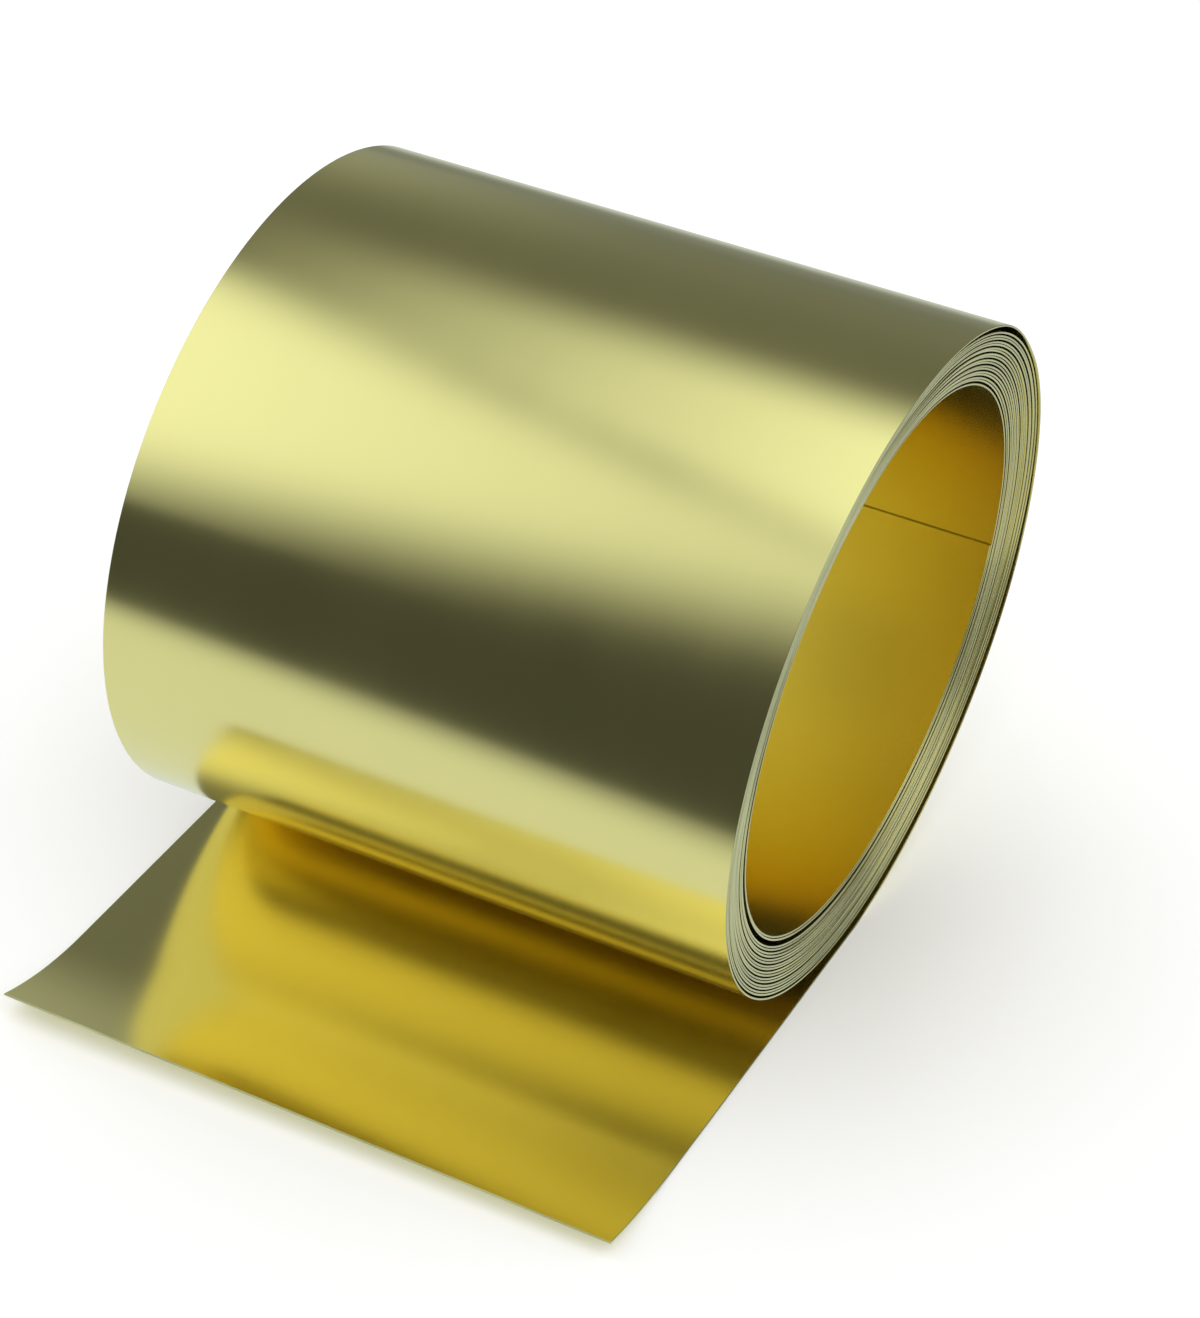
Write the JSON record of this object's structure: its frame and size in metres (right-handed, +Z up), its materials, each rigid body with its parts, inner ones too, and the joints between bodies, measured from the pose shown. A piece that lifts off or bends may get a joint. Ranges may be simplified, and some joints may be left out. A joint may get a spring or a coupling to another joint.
{
  "type": "brass foil strip roll",
  "caption": "Coreless roll of thin brass strip wound in loose laps with an open eye and a flat free end curling up at its tip.",
  "frame": {"origin": "on the roll's axis, half way along the outermost lap", "axes": "+X along the roll's axis, -Y the side where the free end lies, +Z up"},
  "size_m": [0.1082, 0.1288, 0.104],
  "materials": {
    "brass": "satin rolled finish"
  },
  "bodies": {
    "lap_01": {"lap_01": "brass", "tail_1": "brass"},
    "lap_02": {"lap_02": "brass"},
    "lap_03": {"lap_03": "brass"},
    "lap_04": {"lap_04": "brass"},
    "lap_05": {"lap_05": "brass"},
    "lap_06": {"lap_06": "brass"},
    "lap_07": {"lap_07": "brass"},
    "lap_08": {"lap_08": "brass"},
    "lap_09": {"lap_09": "brass"},
    "lap_10": {"lap_10": "brass"},
    "lap_11": {"lap_11": "brass"},
    "lap_12": {"lap_12": "brass"},
    "lap_13": {"lap_13": "brass"},
    "lap_14": {"lap_14": "brass"},
    "lap_15": {"lap_15": "brass"},
    "lap_16": {"lap_16": "brass"},
    "lap_17": {"lap_17": "brass"},
    "lap_18": {"lap_18": "brass"},
    "lap_19": {"lap_19": "brass"},
    "lap_20": {"lap_20": "brass"},
    "tail_2": {"tail_2": "brass"},
    "tail_3": {"tail_3": "brass"},
    "tail_4": {"tail_4": "brass"},
    "tail_5": {"tail_5": "brass"},
    "tail_6": {"tail_6": "brass"},
    "tail_7": {"tail_7": "brass"},
    "tail_8": {"tail_8": "brass"}
  },
  "joints": [
    {"name": "lap_02_slide", "type": "slide", "parent": "lap_01", "child": "lap_02", "axis": [1, 0, 0], "range_m": [-0.0006, 0.0006]},
    {"name": "lap_03_slide", "type": "slide", "parent": "lap_02", "child": "lap_03", "axis": [1, 0, 0], "range_m": [-0.0006, 0.0006]},
    {"name": "lap_04_slide", "type": "slide", "parent": "lap_03", "child": "lap_04", "axis": [1, 0, 0], "range_m": [-0.0006, 0.0006]},
    {"name": "lap_05_slide", "type": "slide", "parent": "lap_04", "child": "lap_05", "axis": [1, 0, 0], "range_m": [-0.0006, 0.0006]},
    {"name": "lap_06_slide", "type": "slide", "parent": "lap_05", "child": "lap_06", "axis": [1, 0, 0], "range_m": [-0.0006, 0.0006]},
    {"name": "lap_07_slide", "type": "slide", "parent": "lap_06", "child": "lap_07", "axis": [1, 0, 0], "range_m": [-0.0006, 0.0006]},
    {"name": "lap_08_slide", "type": "slide", "parent": "lap_07", "child": "lap_08", "axis": [1, 0, 0], "range_m": [-0.0006, 0.0006]},
    {"name": "lap_09_slide", "type": "slide", "parent": "lap_08", "child": "lap_09", "axis": [1, 0, 0], "range_m": [-0.0006, 0.0006]},
    {"name": "lap_10_slide", "type": "slide", "parent": "lap_09", "child": "lap_10", "axis": [1, 0, 0], "range_m": [-0.0006, 0.0006]},
    {"name": "lap_11_slide", "type": "slide", "parent": "lap_10", "child": "lap_11", "axis": [1, 0, 0], "range_m": [-0.0006, 0.0006]},
    {"name": "lap_12_slide", "type": "slide", "parent": "lap_11", "child": "lap_12", "axis": [1, 0, 0], "range_m": [-0.0006, 0.0006]},
    {"name": "lap_13_slide", "type": "slide", "parent": "lap_12", "child": "lap_13", "axis": [1, 0, 0], "range_m": [-0.0006, 0.0006]},
    {"name": "lap_14_slide", "type": "slide", "parent": "lap_13", "child": "lap_14", "axis": [1, 0, 0], "range_m": [-0.0006, 0.0006]},
    {"name": "lap_15_slide", "type": "slide", "parent": "lap_14", "child": "lap_15", "axis": [1, 0, 0], "range_m": [-0.0006, 0.0006]},
    {"name": "lap_16_slide", "type": "slide", "parent": "lap_15", "child": "lap_16", "axis": [1, 0, 0], "range_m": [-0.0006, 0.0006]},
    {"name": "lap_17_slide", "type": "slide", "parent": "lap_16", "child": "lap_17", "axis": [1, 0, 0], "range_m": [-0.0006, 0.0006]},
    {"name": "lap_18_slide", "type": "slide", "parent": "lap_17", "child": "lap_18", "axis": [1, 0, 0], "range_m": [-0.0006, 0.0006]},
    {"name": "lap_19_slide", "type": "slide", "parent": "lap_18", "child": "lap_19", "axis": [1, 0, 0], "range_m": [-0.0006, 0.0006]},
    {"name": "lap_20_slide", "type": "slide", "parent": "lap_19", "child": "lap_20", "axis": [1, 0, 0], "range_m": [-0.0006, 0.0006]},
    {"name": "tail_2_bend", "type": "hinge", "parent": "lap_01", "child": "tail_2", "pos_m": [-0.00341, -0.00962, -0.0524], "axis": [-1, 0, 0], "range_deg": [0, 14], "stiffness_Nm_per_rad": 0.25},
    {"name": "tail_3_bend", "type": "hinge", "parent": "tail_2", "child": "tail_3", "pos_m": [-0.00341, -0.01925, -0.0524], "axis": [-1, 0, 0], "range_deg": [0, 10.61], "stiffness_Nm_per_rad": 0.25},
    {"name": "tail_4_bend", "type": "hinge", "parent": "tail_3", "child": "tail_4", "pos_m": [-0.00341, -0.02888, -0.0524], "axis": [-1, 0, 0], "range_deg": [0, 10.61], "stiffness_Nm_per_rad": 0.25},
    {"name": "tail_5_bend", "type": "hinge", "parent": "tail_4", "child": "tail_5", "pos_m": [-0.00341, -0.0385, -0.0524], "axis": [-1, 0, 0], "range_deg": [0, 10.61], "stiffness_Nm_per_rad": 0.25},
    {"name": "tail_6_bend", "type": "hinge", "parent": "tail_5", "child": "tail_6", "pos_m": [-0.00341, -0.04813, -0.0524], "axis": [-1, 0, 0], "range_deg": [0, 10.61], "stiffness_Nm_per_rad": 0.25},
    {"name": "tail_7_bend", "type": "hinge", "parent": "tail_6", "child": "tail_7", "pos_m": [-0.00341, -0.05775, -0.0524], "axis": [-1, 0, 0], "range_deg": [0, 5.63], "stiffness_Nm_per_rad": 0.25},
    {"name": "tail_8_bend", "type": "hinge", "parent": "tail_7", "child": "tail_8", "pos_m": [-0.00341, -0.06734, -0.05156], "axis": [-1, 0, 0], "range_deg": [0, 1.99], "stiffness_Nm_per_rad": 0.25}
  ],
  "couplings": [
    {"joint": "lap_03_slide", "follows": "lap_02_slide", "ratio": 1},
    {"joint": "lap_04_slide", "follows": "lap_02_slide", "ratio": 1},
    {"joint": "lap_05_slide", "follows": "lap_02_slide", "ratio": 1},
    {"joint": "lap_06_slide", "follows": "lap_02_slide", "ratio": 1},
    {"joint": "lap_07_slide", "follows": "lap_02_slide", "ratio": 1},
    {"joint": "lap_08_slide", "follows": "lap_02_slide", "ratio": 1},
    {"joint": "lap_09_slide", "follows": "lap_02_slide", "ratio": 1},
    {"joint": "lap_10_slide", "follows": "lap_02_slide", "ratio": 1},
    {"joint": "lap_11_slide", "follows": "lap_02_slide", "ratio": 1},
    {"joint": "lap_12_slide", "follows": "lap_02_slide", "ratio": 1},
    {"joint": "lap_13_slide", "follows": "lap_02_slide", "ratio": 1},
    {"joint": "lap_14_slide", "follows": "lap_02_slide", "ratio": 1},
    {"joint": "lap_15_slide", "follows": "lap_02_slide", "ratio": 1},
    {"joint": "lap_16_slide", "follows": "lap_02_slide", "ratio": 1},
    {"joint": "lap_17_slide", "follows": "lap_02_slide", "ratio": 1},
    {"joint": "lap_18_slide", "follows": "lap_02_slide", "ratio": 1},
    {"joint": "lap_19_slide", "follows": "lap_02_slide", "ratio": 1},
    {"joint": "lap_20_slide", "follows": "lap_02_slide", "ratio": 1},
    {"joint": "tail_3_bend", "follows": "tail_2_bend", "ratio": 0.75714},
    {"joint": "tail_4_bend", "follows": "tail_2_bend", "ratio": 0.75714},
    {"joint": "tail_5_bend", "follows": "tail_2_bend", "ratio": 0.75714},
    {"joint": "tail_6_bend", "follows": "tail_2_bend", "ratio": 0.75714},
    {"joint": "tail_7_bend", "follows": "tail_2_bend", "ratio": 0.40144},
    {"joint": "tail_8_bend", "follows": "tail_2_bend", "ratio": 0.14166}
  ]
}
